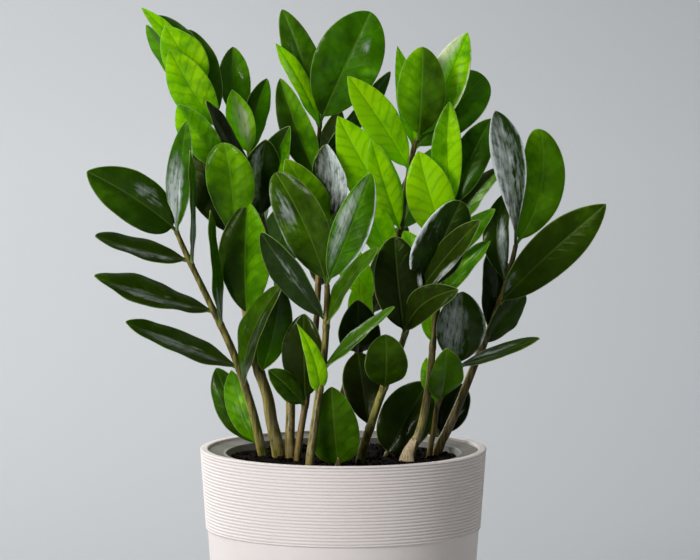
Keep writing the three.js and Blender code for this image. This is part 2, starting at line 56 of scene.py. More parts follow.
# ---- the plant: where its stems run and its leaflets point ----
# A frond: name, then the stem as [x, y, height above the rim, radius], then its leaflets as
# [height of the base, tip x, tip y, tip height, width, turn, fold, arch, shade], and last how the
# leaflet differs from the usual one, in the words of look().
# turn swings the upper face away from the viewer (0) about the leaflet's own length, fold lifts
# both halves from the midrib, arch bows the middle towards the upper face, and shade runs from
# an old dark leaflet (0) to a new lime one (1).
FRONDS = [
    ["frond_left",
     [[-50, 24, -50, 4], [-57, 20, -6, 3.4], [-65, 18, 28, 3], [-77, 15, 65, 2.7],
      [-93, 11, 100, 2.3], [-109, 8, 134, 2], [-117, 6, 153, 1.6]],
     [[151, -177, -14, 194, 36, 15, 8, 5, 0.3,
       dict(widest=0.46, neck=0.5, blunt=0.74, sway=2, tone=-0.05,
            painted_sheen=(0.4, 0.4, 0.45, 0.3, 0.4), olive=0.6)],
      [150, -108, -14, 229, 20, -10, 25, 1, 0.4,
       dict(painted_sheen=(1.35, 0.3, -0.35, 0.34, 0.6), painted_right_glint=0.8)],
      [127, -105, -36, 210, 20, 80, 5, 1, 0.3, dict(painted_sheen=(0.5, 0.4, 0, 0.35, 0.5))],
      [130, -171, -25, 150, 26, 62, 10, -2, 0.2,
       dict(painted_sheen=(0.5, 0.45, -0.4, 0.5, 0.5), olive=0.9)],
      [94, -172, -20, 122, 32, 62, 10, -2, 0.2,
       dict(painted_sheen=(0.48, 0.5, -0.3, 0.5, 0.5), olive=0.9)],
      [54, -151, -10, 89, 30, 63, 10, 0, 0.2, dict(painted_sheen=(0.5, 0.5, -0.2, 0.5, 0.5), olive=0.9)],
      [84, -91, -41, 169, 20, 72, 6, 0, 0.3,
       dict(widest=0.45, painted_sheen=(0.2, 0.6, 0.4, 0.35, 0.5), olive=0.5)],
      [40, -42, -28, 117, 29, -58, 12, 10, 0.27,
       dict(painted_half_shade=-0.08, painted_sheen=(0.25, 0.5, -0.5, 0.35, 0.5), olive=0.8)]]],
    ["frond_upper_left",
     [[-42, 11, -50, 5.2], [-45, 5, -6, 4.8], [-50, 4, 18, 4.3], [-53, 4, 36, 4],
      [-61, 4, 61, 3.6], [-68, 6, 97, 3.2], [-76, 9, 130, 2.8], [-84, 14, 200, 2.4],
      [-88, 16, 225, 2], [-97, 17, 253, 1.6], [-112, 14, 279, 1.2]],
     [[51, -43, -12, 114, 25, 25, 12, 5, 0.3, dict(slope=-0.6, olive=0.6)],
      [90, -66, -2, 172, 38, -18, 8, 5, 0.4, dict(painted_half_shade=0.22, wax=0.2, olive=0.4)],
      [142, -83, 0, 213, 34, -8, 8, 5, 0.56,
       dict(widest=0.64, neck=1.1, blunt=0.5, sway=5, painted_half_shade=0.03, olive=0.7)],
      [146, -107, 38, 225, 34, -20, 12, 5, 0.05, dict(tone=0.06, wax=0, olive=1)],
      [198, -114, -5, 240, 26, -20, 10, 3, 0.72, dict(painted_half_shade=-0.15)],
      [192, -110, 22, 232, 20, -30, 15, 4, 0.6],
      [222, -120, -5, 278, 29, 5, 8, 4, 0.86,
       dict(sway=-2, tone=-0.04, painted_sheen=(0.15, 0.5, 0.3, 0.35, 0.5))],
      [250, -123, -6, 294, 30, -5, 10, 3, 0.84, dict(olive=0.5)],
      [262, -140, 10, 306, 14, 40, 10, 2, 0.95, dict(painted_half_shade=0.05)],
      [248, -137, 20, 294, 24, -50, 12, 3, 0.5, dict(painted_half_shade=-0.1)],
      [246, -130, 30, 300, 24, 20, 12, 4, 0.2],
      [226, -108, 35, 290, 26, 15, 12, 4, 0.3]]],
    ["frond_rear_left",
     [[-30, 18, -50, 4], [-37, 2, -6, 3.6], [-37, 9, 32, 3.2], [-41, 20, 80, 2.9],
      [-48, 30, 121, 2.5], [-58, 38, 160, 2.2], [-66, 45, 202, 1.8], [-73, 48, 226, 1.4]],
     [[222, -78, 60, 277, 24, 10, 20, 4, 0.38,
       dict(sway=-2, painted_half_shade=0.14, painted_sheen=(0.2, 0.5, 0, 0.35, 0.5), olive=0.4)],
      [200, -78, 36, 248, 20, -5, 12, 3, 1,
       dict(painted_sheen=(1.1, 0.5, 0.1, 0.42, 0.6), olive=0, rim=1)],
      [200, -54, 54, 255, 20, 30, 12, 1, 0.32, dict(sway=-4, painted_half_shade=0.16)],
      [158, -54, 3, 215, 30, 10, 14, 2, 0.1, dict(sway=-3, painted_sheen=(0.9, 0.55, -0.4, 0.4, 0.45))],
      [165, -37, 7, 224, 24, -30, 15, 4, 0.38, dict(painted_half_shade=0.18)],
      [183, -95, -11, 242, 20, 62, 10, -1, 0, dict(wax=0.2, olive=1)],
      [150, -86, 95, 190, 30, 150, 12, 5, 0.4],
      [120, -40, 100, 165, 30, 190, 12, 5, 0.3]]],
    ["frond_upper_middle",
     [[-34, -3, -50, 2.8], [-32, -6, -6, 2.5], [-26, -2, 33, 2.3], [-22, 5, 54, 2.2],
      [-18, 15, 102, 2.1], [-17, 22, 157, 1.9], [-18, 26, 200, 1.6], [-16, 28, 228, 1.3]],
     [[226, -43, 40, 304, 25, 20, 10, 6, 0.35,
       dict(sway=-1, painted_sheen=(0.25, 0.6, -0.4, 0.35, 0.5), olive=0.5)],
      [226, 19, 20, 303, 47, 0, 8, 5, 0.43,
       dict(widest=0.55, blunt=0.57, painted_half_shade=0.04, painted_sheen=(0.4, 0.72, 0.35, 0.12, 0.3), olive=0.2)],
      [222, -47, 18, 281, 18, 45, 10, 4, 0.95,
       dict(sway=-1.5, painted_sheen=(0.4, 0.7, -0.6, 0.35, 0.5), olive=0)],
      [186, -44, 14, 257, 25, -10, 20, 4, 0.4,
       dict(widest=0.42, painted_half_shade=0.17, painted_right_glint=0.3, olive=0.5)],
      [145, -40, -4, 202, 30, 5, 10, 4, 0.6,
       dict(widest=0.35, neck=0.55, sway=2.5, wax=0.3, olive=0.9, rim=0.9)],
      [200, 33, 50, 260, 18, 40, 12, 4, 0.12],
      [157, -11, 0, 212, 32, -25, 26, 3, 0.12,
       dict(sway=8, painted_sheen=(1.05, 0.8, 0.7, 0.55, 1.3), olive=1)],
      [32, -27, -12, 95, 32, -20, 12, 4, 0.12, dict(painted_sheen=(0.3, 0.5, 0.5, 0.35, 0.5), olive=1)],
      [29, -52, -14, 56, 19, 30, 10, 4, 0.3, dict(olive=0.7)],
      [180, -2, 80, 232, 20, 180, 12, 5, 0.08, dict(wax=0.3, olive=1)],
      [110, -2, 84, 165, 26, 175, 12, 5, 0.15]]],
    ["frond_front",
     [[-22, -24, -50, 3.6], [-23, -58, -8, 3.2], [-20.5, -57, 15, 2.9], [-16.5, -51, 44, 2.7],
      [-12.5, -47, 76, 2.5], [-11, -46, 107, 2.2], [-11, -46, 120, 1.7]],
     [[119, -46, -40, 195, 34, -10, 12, 5, 0.35,
       dict(blunt=0.55, sway=3.5, painted_sheen=(0.5, 0.66, -0.45, 0.3, 0.35), painted_left_glint=0.5, olive=1)],
      [119, 19, -46, 195, 28, 8, 22, 5, 0.5,
       dict(sway=-1, painted_half_shade=-0.05, painted_sheen=(0.85, 0.52, -0.5, 0.5, 0.42), painted_right_glint=2)],
      [94, -56, -50, 155, 25, -30, 12, 5, 0.2,
       dict(sway=2, tone=-0.08, painted_sheen=(0.4, 0.5, 0.1, 0.35, 0.4))],
      [89, 24, -62, 145, 24, -66, 10, 5, 0.4, dict(painted_sheen=(0.2, 0.5, 0, 0.35, 0.5), olive=0.8)],
      [60, 35, -74, 106, 18, -66, 10, 1, 0.4, dict(painted_left_glint=0.8, wax=0.2, olive=0.6)],
      [46, -32, -62, 94, 15, 25, 10, 3, 1,
       dict(widest=0.22, neck=0.4, blunt=1.3, stalk=1, sway=2)]]],
    ["frond_upper_right",
     [[-2, 26, -50, 4], [-8, 26, -6, 3.5], [3, 25, 44, 3], [10, 24, 62, 2.8],
      [21, 22, 99, 2.7], [38, 22, 143, 2.4], [42, 24, 168, 2.2], [49, 28, 206, 1.8],
      [53, 28, 215, 1.4]],
     [[214, 55, 10, 279, 35, 0, 14, 5, 0.66,
       dict(blunt=0.55, sway=1, tone=-0.15, painted_half_shade=-0.15, wax=0.5, olive=0.8)],
      [213, 87, 32, 288, 30, 0, 22, 4, 0.92,
       dict(sway=1.5, twist=-18, painted_half_shade=-0.05, painted_sheen=(1.5, 0.68, -0.65, 0.34, 0.45), painted_left_glint=1.5,
            painted_right_glint=1.2, wax=0.3, olive=0)],
      [206, 99, 45, 257, 36, -5, 10, 4, 0.37,
       dict(widest=0.6, blunt=0.45, painted_sheen=(0.1, 0.5, 0, 0.35, 0.5))],
      [206, 38, 48, 278, 17, 15, 12, 4, 1, dict(widest=0.42, blunt=1)],
      [192, 3, 2, 259, 28, 20, 10, 4, 1, dict(blunt=0.85, tone=0.05, painted_half_shade=-0.1, olive=0.5)],
      [154, -4, 8, 231, 37, 12, 10, 5, 1, dict(widest=0.45, blunt=0.9, sway=-3)],
      [128, 16, 8, 175, 24, 10, 12, 4, 0.85],
      [99, -4, 12, 146, 22, 0, 12, 4, 1],
      [75, 11, 15, 116, 18, 0, 12, 4, 0.95],
      [64, 10, -15, 105, 30, 0, 10, 8, 0, dict(wax=0.3)],
      [150, 66, 85, 205, 26, 170, 12, 5, 0.4],
      [90, 44, 94, 150, 28, 165, 12, 5, 0.2],
      [150, 19, -10, 216, 20, 0, 10, 4, 0.95]]],
    ["frond_right_front",
     [[8, -18, -50, 3.6], [12, -21, -6, 3.3], [20, -28, 22, 2.9], [28, -36, 46, 2.7],
      [35, -40, 62, 2.5], [42, -44, 83, 2.2], [51, -46, 114, 1.6]],
     [[113, 80, -60, 177, 36, 8, 12, 5, 0.06,
       dict(widest=0.44, blunt=0.45, painted_sheen=(0.3, 0.65, -0.5, 0.25, 0.35), painted_left_glint=1.4, wax=0.5)],
      [84, 35, -52, 152, 34, 0, 12, 5, 0.02,
       dict(blunt=0.5, painted_sheen=(0.8, 0.5, 0.9, 0.12, 0.12), wax=0.2, olive=0.5)],
      [84, 78, -75, 118, 22, -25, 12, 5, 0.18, dict(sway=-7, wax=0.2, olive=1)],
      [46, 29, -64, 86, 30, 0, 10, 5, 0.25, dict(blunt=0.5, wax=0.3, olive=0.9)],
      [16, 10, 5, 66, 28, 0, 12, 4, 0, dict(wax=0.2, olive=1)],
      [109, 93, -76, 165, 21, -38, 12, 3, 0.22,
       dict(painted_half_shade=0.04, painted_sheen=(0.6, 0.4, 0.8, 0.25, 0.25), painted_right_glint=0.25, wax=0.1, olive=1)]]],
    ["frond_right_middle",
     [[42, -6, -50, 4.6], [45.5, -10, -6, 4.3], [52, -9, 9, 3.2], [56, -8, 23, 2.9],
      [60.5, -5, 51, 2.6], [63, 0, 79, 2.4], [66.5, 4, 103, 2.2], [72, 9, 138, 1.9],
      [77, 11, 169, 1.4]],
     [[167, 74, 10, 241, 22, -5, 15, 2, 0.9, dict(sway=-3, painted_half_shade=0.15, slope=-0.45)],
      [166, 104, 28, 228, 26, -10, 12, 4, 0.27, dict(sway=-2, wax=0.3, olive=0)],
      [147, 111, 26, 194, 24, -50, 12, 4, 0.33, dict(painted_half_shade=0.2, painted_right_glint=0.5, wax=0.3, olive=0.9)],
      [101, 102, -5, 145, 20, -50, 12, 3, 0.6, dict(painted_left_glint=1.5)],
      [141, 52, 0, 207, 34, 5, 12, 5, 1, dict(blunt=0.8, sway=-2)],
      [70, 58, 8, 96, 12, 0, 10, 3, 0.85],
      [125, 80, 80, 175, 30, 160, 12, 5, 0.3],
      [124, 105, -14, 168, 18, -40, 12, 3, 0.5],
      [112, 42, 20, 150, 18, 0, 10, 3, 0.75]]],
    ["frond_right_small",
     [[58, 5, -50, 2.4], [60.5, 10, -6, 2.1], [63.5, 9, 11, 2], [66, 7, 29, 1.9],
      [72, 4, 43, 1.7], [79, 0, 57, 1.4]],
     [[33, 71, -32, 73, 26, 22, 10, 4, 0.42, dict(wax=0.3, olive=1)],
      [56, 83, -8, 110, 35, 0, 10, 5, 0.15,
       dict(painted_sheen=(0.62, 0.5, -0.4, 0.75, 0.75), painted_right_glint=1, olive=0.8)],
      [56, 136, -15, 78, 20, -68, 10, 0, 0.2,
       dict(wave=0.2, painted_sheen=(0.5, 0.4, -0.3, 0.4, 0.3), olive=0.8)],
      [29, 58, 9, 62, 13, -10, 10, 3, 0.8]]],
    ["frond_right",
     [[57, 17, -50, 3.8], [66, 16, -6, 3.4], [73, 16, 10, 3.2], [81, 18, 28, 3],
      [93, 20, 58, 2.7], [101, 20, 77, 2.5], [114, 20, 112, 2.2], [121, 17, 142, 1.6]],
     [[140, 105, -16, 236, 25, 0, 20, 5, 0.12,
       dict(widest=0.7, neck=1.7, sway=4, twist=20, painted_sheen=(0.68, 0.55, -0.7, 0.7, 1.5),
            painted_left_glint=2, painted_right_glint=1, olive=0)],
      [141, 137, 8, 222, 32, 5, 10, 5, 0.53,
       dict(widest=0.56, neck=0.58, blunt=0.45, sway=8, tone=-0.04, painted_half_shade=-0.03, wax=0.4,
            olive=0.9)],
      [99, 182, -8, 171, 33, 0, 10, 5, 0.32,
       dict(widest=0.55, blunt=0.82, sway=-1.5, tone=-0.09, painted_sheen=(0.4, 0.12, -0.6, 0.15, 0.4),
            wax=0.05, olive=1)],
      [113, 114, 32, 176, 20, -20, 14, 4, 0.2,
       dict(sway=-5, painted_sheen=(1.3, 0.33, 0.45, 0.33, 0.4), olive=0.7)],
      [77, 105, 40, 136, 26, 20, 12, 4, 0, dict(sway=3, painted_sheen=(0.2, 0.5, 0, 0.35, 0.5))],
      [68, 128, 35, 104, 22, 30, 12, 4, 0.16, dict(sway=-4, olive=0.8)]]],
    ["shoot_low_left",
     [[-54, 34, -50, 2.6], [-59, 38, -8, 2.2], [-61, 38, 4, 1.6]],
     [[-5, -79, 37, 50, 23, -25, 12, 3, 0.8, dict(tone=-0.12, painted_sheen=(0.35, 0.5, 0, 0.5, 0.8))],
      [-5, -90, 50, 50, 26, -15, 12, 4, 0.3, dict(olive=0.5)]]],
    ["shoot_low_front",
     [[-8, -30, -50, 2.4], [-4, -40, -12, 2.2], [-3, -42, 0, 1.8]],
     [[-7, -8, -46, 48, 34, 0, 6, 2, 0.38,
       dict(widest=0.38, neck=0.34, stalk=2, wax=0.3, olive=0.8)]]],
    ["shoot_low_right",
     [[14, 18, -50, 2.6], [29, 13, -11, 2.1], [31, 13, -4, 1.6]],
     [[-6, 59, 24, 43, 38, -10, 8, 3, 0.12, dict(neck=0.4, stalk=2, olive=1)]]],
    ["shoot_low_rear",
     [[57, 27, -50, 2.6], [67, 34, -6, 2.2], [70, 36, 3, 1.7]],
     [[1, 84, 40, 40, 28, -20, 10, 3, 0],
      [-1, 60, 52, 30, 26, 160, 10, 3, 0.1]]],
]

# How brown a stem is, from olive green (0) to brown (1), where it isn't USUAL_BROWN.
STEM_BROWN = {
    "frond_left": 0.35,
    "frond_rear_left": 0.7,
    "frond_upper_middle": 0.9,
    "frond_front": 0.55,
    "frond_upper_right": 0.95,
    "frond_right_front": 0.25,
    "frond_right_middle": 0.4,
    "frond_right_small": 0.7,
    "frond_right": 0.75,
}
USUAL_BROWN = 0.5


# ---- putting shapes into meshes ----
def ring_faces(rings, sides, looped):
    """Corner numbers of stacked rings: quads between neighbours, and one flat face at each end.

    In a looped stack the last ring joins the first, and no face is flat.
    """
    here = np.arange(rings if looped else rings - 1)[:, None] * sides
    above = (here + sides) % (rings * sides)
    side = np.arange(sides)
    beside = (side + 1) % sides
    quads = np.stack([here + side, here + beside, above + beside, above + side], axis=-1)
    faces = quads.reshape(-1, 4).tolist()
    if looped:
        return faces
    return faces + [side[::-1].tolist(), (side + (rings - 1) * sides).tolist()]


def add_mesh(name, points, faces, material, values=None):
    """A new object at the origin from points in millimetres, with a named number at each point."""
    mesh = bpy.data.meshes.new(name)
    mesh.from_pydata((points * MM).tolist(), [], faces)
    mesh.polygons.foreach_set("use_smooth", np.ones(len(mesh.polygons), dtype=bool))
    for label, numbers in (values or {}).items():
        layer = mesh.attributes.new(label, "FLOAT", "POINT")
        layer.data.foreach_set("value", np.ascontiguousarray(numbers, dtype=np.float32).ravel())
    mesh.materials.append(material)
    mesh.update()
    piece = bpy.data.objects.new(name, mesh)
    bpy.context.scene.collection.objects.link(piece)
    return piece


def add_tubes(name, tubes, material, values=None, looped=False):
    """One object from tubes of equal size, given as [tube, ring, side, xyz]."""
    count, rings, sides, _ = tubes.shape
    pattern = ring_faces(rings, sides, looped)
    step = rings * sides
    faces = [[corner + tube * step for corner in face]
             for tube in range(count) for face in pattern]
    shape = (count, rings, sides)
    spread = {label: np.broadcast_to(v, shape) for label, v in (values or {}).items()}
    return add_mesh(name, tubes.reshape(-1, 3), faces, material, spread)


def belongs(piece, slot, *nodes):
    """The piece rides with the plant and stands for the CAD nodes; the slot is not used."""
    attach(piece, "root")
    if nodes:
        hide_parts(*nodes)


def unit(vectors):
    """Each vector divided by its own length."""
    return vectors / np.linalg.norm(vectors, axis=-1, keepdims=True)


def swell(x, width):
    """A bell: 1 at zero, falling off over the width either way."""
    return np.exp(-(x / width) ** 2)


# ---- shader maths ----
class Value:
    """A shader socket that can be used in sums: each operator adds its Math node."""

    def __init__(self, finish, socket):
        self.finish = finish
        self.socket = socket

    def math(self, operation, *others, clamp=False):
        settings = {"operation": operation, "use_clamp": clamp}
        return self.finish.node("ShaderNodeMath", settings, dict(enumerate((self, *others))))

    __add__ = __radd__ = partialmethod(math, "ADD")
    __mul__ = __rmul__ = partialmethod(math, "MULTIPLY")
    __sub__ = partialmethod(math, "SUBTRACT")
    __truediv__ = partialmethod(math, "DIVIDE")
    __pow__ = partialmethod(math, "POWER")

    def __rsub__(self, other):
        return self * -1 + other

    def clamped(self):
        return self.math("ADD", 0.0, clamp=True)

    def step(self, low, high):
        """0 below low and 1 above high, with an even slope between."""
        return ((self - low) / (high - low)).clamped()


class Nodes:
    """A node tree that is filled from Python."""

    def __init__(self, tree):
        self.tree = tree
        tree.nodes.clear()

    def node(self, kind, settings=None, values=None, output=0):
        """A node of the kind, with its settings made first, then its sockets set or linked."""
        node = self.tree.nodes.new(kind)
        for label, setting in (settings or {}).items():
            setattr(node, label, setting)
        for label, value in (values or {}).items():
            if isinstance(value, Value):
                self.tree.links.new(value.socket, node.inputs[label])
            else:
                node.inputs[label].default_value = value
        return None if output is None else Value(self, node.outputs[output])


class Finish(Nodes):
    """A new material and the nodes that make it."""

    def __init__(self, name):
        self.material = bpy.data.materials.new(name)
        self.material.use_nodes = True
        super().__init__(self.material.node_tree)

    def reading(self, label):
        """The number of that name that each point of the mesh carries."""
        return self.node("ShaderNodeAttribute", {"attribute_name": label}, output="Fac")

    def place(self):
        return self.node("ShaderNodeTexCoord", output="Object")

    def stretched(self, x, y, z):
        """Object coordinates, each multiplied by its own number."""
        return self.node("ShaderNodeMapping", values={"Vector": self.place(), "Scale": (x, y, z)})

    def noise(self, scale=1, detail=2, roughness=0.5, where=None):
        where = where or self.place()
        values = {"Vector": where, "Scale": scale, "Detail": detail, "Roughness": roughness}
        return self.node("ShaderNodeTexNoise", values=values)

    def ramp(self, value, stops):
        """The colour that the stops give at the value, each stop being a place and a colour."""
        blend = self.node("ShaderNodeValToRGB", values={"Fac": value})
        elements = blend.socket.node.color_ramp.elements
        while len(elements) < len(stops):
            elements.new(0.5)
        for element, (place, colour) in zip(elements, stops):
            element.position = place
            element.color = (*colour, 1)
        return blend

    def mix(self, factor, one, other, blend="MIX"):
        """The colour one where factor is 0 and the other where it is 1."""
        one, other = (c if isinstance(c, Value) else (*c, 1) for c in (one, other))
        settings = {"data_type": "RGBA", "blend_type": blend}
        return self.node("ShaderNodeMix", settings, {0: factor, 6: one, 7: other}, output=2)

    def bump(self, height, distance, strength):
        values = {"Height": height, "Distance": distance, "Strength": strength}
        return self.node("ShaderNodeBump", values=values)

    def principled(self, **values):
        named = {label.replace("_", " ").title().replace("Ior", "IOR"): value
                 for label, value in values.items()}
        return self.node("ShaderNodeBsdfPrincipled", values=named)

    def finished(self, shader):
        self.node("ShaderNodeOutputMaterial", values={"Surface": shader}, output=None)
        return self.material


# ---- finishes ----
# Greens from an old leaflet in the dark to a new one, and those of the midribs.
LEAF_GREENS = [
    (0.00, (0.0035, 0.0080, 0.0010)),
    (0.25, (0.0110, 0.0370, 0.0006)),
    (0.50, (0.0420, 0.1700, 0.0002)),
    (0.75, (0.1500, 0.4600, 0.0002)),
    (1.00, (0.4400, 0.8600, 0.0006)),
]
MIDRIB_GREENS = [
    (0.00, (0.035, 0.070, 0.010)),
    (0.50, (0.150, 0.260, 0.030)),
    (1.00, (0.100, 0.260, 0.002)),
]
VEIN_GREENS = (0.004, 0.020, 0.0), (0.045, 0.17, 0.0)  # on an old leaflet and on a new one
PAINTED_SHEEN_COLOURS = (0.66, 0.73, 0.70), (0.92, 0.98, 0.62)  # colours of the painted sheen, likewise
OLIVE_CAST = (1.75, 0.95, 1.0)
# The pale margin: partly the leaflet's own pale edge, partly painted rim light.
MARGIN_AND_RIM_LIGHT_GREEN = (0.36, 0.50, 0.14)
GLOSS_GREEN = (0.75, 1.0, 0.35, 1)
GLOW_GREEN = (0.42, 0.86, 0.005, 1)
VEIN_SPACING = 8.5  # between side veins, along the midrib
VEIN_SLANT = 1.3  # how far a vein runs towards the tip for each millimetre away from the midrib
VEIN_BEND = 0.03
VEIN_WANDER = 5
VEIN_SHARPNESS = 5
VEIN_START = 0.5, 2.0  # veins fade in between these distances from the midrib's middle
MIDRIB_EDGE = 0.22, 0.75  # and its own colour fades out between these
RIM_EDGE = 0.15, 0.70  # the pale margin, partly painted rim light, fades out between these distances from the edge


def leaf_finish():
    """Waxy leaflets from near black through green to lime, with painted shade in their tone and a
    painted sheen of highlights and reflections that veins break up.

    A vein lies where the cosine of a leaflet's own slanting coordinate is near 1. The readings
    along, across and margin are distances in millimetres from the blade's base, midrib and edge.
    """
    f = Finish("waxy_leaflet")
    tone = f.reading("tone")
    along = f.reading("along")
    signed = f.reading("across")
    across = signed.math("ABSOLUTE")
    margin = f.reading("margin")
    under = f.reading("under")
    painted_sheen = f.reading("painted_sheen")
    waxy = f.reading("wax")
    cloud = f.noise(34, detail=3, roughness=0.6)
    blotch = f.noise(150, detail=3, roughness=0.6)
    grain = f.noise(700, roughness=0.6)
    wander = f.noise(90, roughness=0.6)

    run = along - across * VEIN_SLANT + across * across * VEIN_BEND + (wander - 0.5) * VEIN_WANDER
    vein = (run * (math.tau / VEIN_SPACING)).math("COSINE") * 0.5 + 0.5
    vein = vein ** VEIN_SHARPNESS * across.step(*VEIN_START) * cloud.step(0.24, 0.52)
    midrib = 1 - across.step(*MIDRIB_EDGE)

    mottle = f.noise(85, detail=3, roughness=0.65)
    depth = tone + (cloud - 0.5) * 0.45 + (mottle - 0.5) * (0.30 + tone * 0.6) + under * 0.05
    green = f.ramp(depth.clamped(), LEAF_GREENS)
    drab = f.mix(1.0, green, OLIVE_CAST, "MULTIPLY")
    green = f.mix((f.reading("olive") * (1.15 - tone)).clamped(), green, drab)
    green = f.mix(vein * (0.52 - tone * 0.22), green, f.mix(tone, *VEIN_GREENS))
    green = f.mix(midrib * 0.5, green, f.ramp(tone, MIDRIB_GREENS))
    # The pale margin, partly painted rim light.
    rim = 1 - margin.step(*RIM_EDGE)
    green = f.mix(rim * f.reading("rim"), green, MARGIN_AND_RIM_LIGHT_GREEN)
    lengthwise = {"X": along * 0.05, "Y": signed * 0.55, "Z": tone * 40}
    where = f.node("ShaderNodeCombineXYZ", values=lengthwise)
    streak = f.noise(detail=3, roughness=0.65, where=where)
    # The painted sheen: painted highlights and reflections, in streaks and patches, mixed into the
    # colour.
    patchy = streak * 1.1 + blotch * 0.45 - 0.50 - vein * 0.06
    painted_sheen_mix = (painted_sheen * 1.5 * patchy.step(0.05, 0.55) + (painted_sheen - 0.55) * 0.6).clamped()
    colour = f.mix(painted_sheen_mix, green, f.mix(tone.step(0.5, 0.85), *PAINTED_SHEEN_COLOURS))

    relief = vein * 0.9 + grain * 0.3 + blotch * 2.2
    normal = f.bump(relief, 0.00030, 0.6)
    dull = 0.34 + (blotch - 0.5) * 0.2 + under * 0.16 - painted_sheen_mix * 0.08
    wax = waxy * (cloud * 0.7 + blotch * 0.7 + grain * 0.3 - 0.68 - under * 0.3).clamped()
    skin = f.principled(base_color=colour, roughness=dull.clamped(), specular_ior_level=0.09,
                        specular_tint=GLOSS_GREEN, coat_weight=wax, coat_roughness=0.12,
                        normal=normal)
    glow = f.node("ShaderNodeBsdfTranslucent", values={"Color": GLOW_GREEN})
    share = (0.05 + tone * 0.34) * (1 - painted_sheen_mix * 0.6)
    return f.finished(f.node("ShaderNodeMixShader", values={0: share, 1: skin, 2: glow}))


OLIVE_BARK = (0.045, 0.060, 0.006), (0.40, 0.38, 0.085)  # darker streaks and painted shade, and paler streaks and the side painted as lit
BROWN_BARK = (0.028, 0.017, 0.004), (0.38, 0.240, 0.070)
PAPERY = (0.34, 0.29, 0.15)
FLECK = (0.035, 0.035, 0.012)
SCAR = (0.09, 0.055, 0.025)
PAPERY_HEIGHT = 30  # above the rim, where the dry skin at a stem's foot ends


def stem_finish():
    """Fleshy stems, olive to brown, with dark flecks and streaks, a scar at each leaflet, and
    painted light on one side and painted shade on the other.
    """
    f = Finish("fleshy_stem")
    brown = f.reading("brown")
    height = f.reading("height")
    scar = f.reading("scar")
    painted_lit_side = f.reading("painted_lit_side")
    streak = f.noise(detail=3, roughness=0.6, where=f.stretched(480, 480, 20))
    streak = streak.step(0.38, 0.62)
    # Painted light and shade: the paler streaks, and the side painted as lit, take the paler bark.
    light = (streak * 0.6 + painted_lit_side * 0.6 - 0.20).clamped()
    fleck = f.noise(where=f.stretched(700, 700, 260))
    blotch = f.noise(70)
    olive = f.mix(light, *OLIVE_BARK)
    wood = f.mix(light, *BROWN_BARK)
    colour = f.mix((brown + (blotch - 0.5) * 0.8).clamped(), olive, wood)
    low = 1 - height.step(0, PAPERY_HEIGHT)
    colour = f.mix(low * blotch.step(0.48, 0.64) * 0.4, colour, PAPERY)
    colour = f.mix(fleck.step(0.60, 0.70) * 0.55, colour, FLECK)
    colour = f.mix(scar * 0.6, colour, SCAR)
    normal = f.bump(streak * 0.7 + fleck * 0.5, 0.0003, 0.6)
    skin = f.principled(base_color=colour, roughness=0.32 + streak * 0.08, specular_ior_level=0.2,
                        coat_weight=0.15, coat_roughness=0.16, normal=normal)
    return f.finished(skin)


def planter_finish():
    """Pale warm matt plastic with a fine grain, and darker in the grooves."""
    f = Finish("planter_plastic")
    groove = f.reading("groove")
    cloud = f.noise(9, detail=3, roughness=0.6)
    grain = f.noise(1800, detail=1)
    groove_darkening = (0.43, 0.38, 0.35)
    colour = f.mix(cloud.step(0.3, 0.7), (0.790, 0.728, 0.695), (0.815, 0.752, 0.718))
    # darker in the grooves
    colour = f.mix(groove * 0.35, colour, groove_darkening)
    normal = f.bump(grain, 0.00006, 0.5)
    return f.finished(f.principled(base_color=colour, roughness=0.48 + cloud * 0.1,
                                   specular_ior_level=0.4, normal=normal))


def liner_finish():
    """Grey matt plastic with a fine grain, and a painted highlight along the edge of its opening.
    """
    f = Finish("liner_plastic")
    edge = f.reading("edge")
    cloud = f.noise(60, detail=3, roughness=0.6)
    grain = f.noise(1500, detail=1)
    painted_edge_highlight = (0.42, 0.40, 0.39)
    colour = f.mix(cloud, (0.15, 0.145, 0.12), (0.24, 0.235, 0.205))
    # a painted highlight on the edge of the opening
    colour = f.mix(edge * 0.6, colour, painted_edge_highlight)
    return f.finished(f.principled(base_color=colour, roughness=0.55 + cloud * 0.1,
                                   normal=f.bump(grain, 0.00008, 0.5)))


def soil_finish():
    """Damp dark potting soil, from near black to brown."""
    f = Finish("potting_soil")
    crumb = f.noise(420, detail=4, roughness=0.65)
    damp = f.noise(28)
    wet = (0.0025, 0.0019, 0.0015)
    colour = f.mix(crumb.step(0.42, 0.72), (0.0022, 0.0017, 0.0012), (0.014, 0.009, 0.005))
    colour = f.mix(damp.step(0.5, 0.7) * 0.6, colour, wet)
    return f.finished(f.principled(base_color=colour, roughness=0.85 + crumb * 0.15,
                                   specular_ior_level=0.05,
                                   normal=f.bump(crumb, 0.0010, 0.9)))


def rhizome_finish():
    """Tan tuber skin, ringed and blotched."""
    f = Finish("rhizome_skin")
    blotch = f.noise(90, detail=4, roughness=0.6)
    rings = f.noise(where=f.stretched(40, 40, 500))
    ring_brown = (0.09, 0.055, 0.03)
    colour = f.mix(blotch, (0.16, 0.10, 0.05), (0.42, 0.31, 0.17))
    colour = f.mix(rings.step(0.5, 0.65) * 0.5, colour, ring_brown)
    return f.finished(f.principled(base_color=colour, roughness=0.7 + blotch * 0.15,
                                   normal=f.bump(rings, 0.0006, 0.6)))


def sheath_finish():
    """Dry papery sheath, beige with darker lengthwise fibres."""
    f = Finish("dry_sheath")
    fibre = f.noise(detail=3, roughness=0.6, where=f.stretched(1400, 1400, 70))
    colour = f.mix(fibre.step(0.3, 0.7), (0.24, 0.16, 0.075), (0.64, 0.52, 0.32))
    return f.finished(f.principled(base_color=colour, roughness=0.7 + fibre * 0.15,
                                   normal=f.bump(fibre, 0.0003, 0.7)))


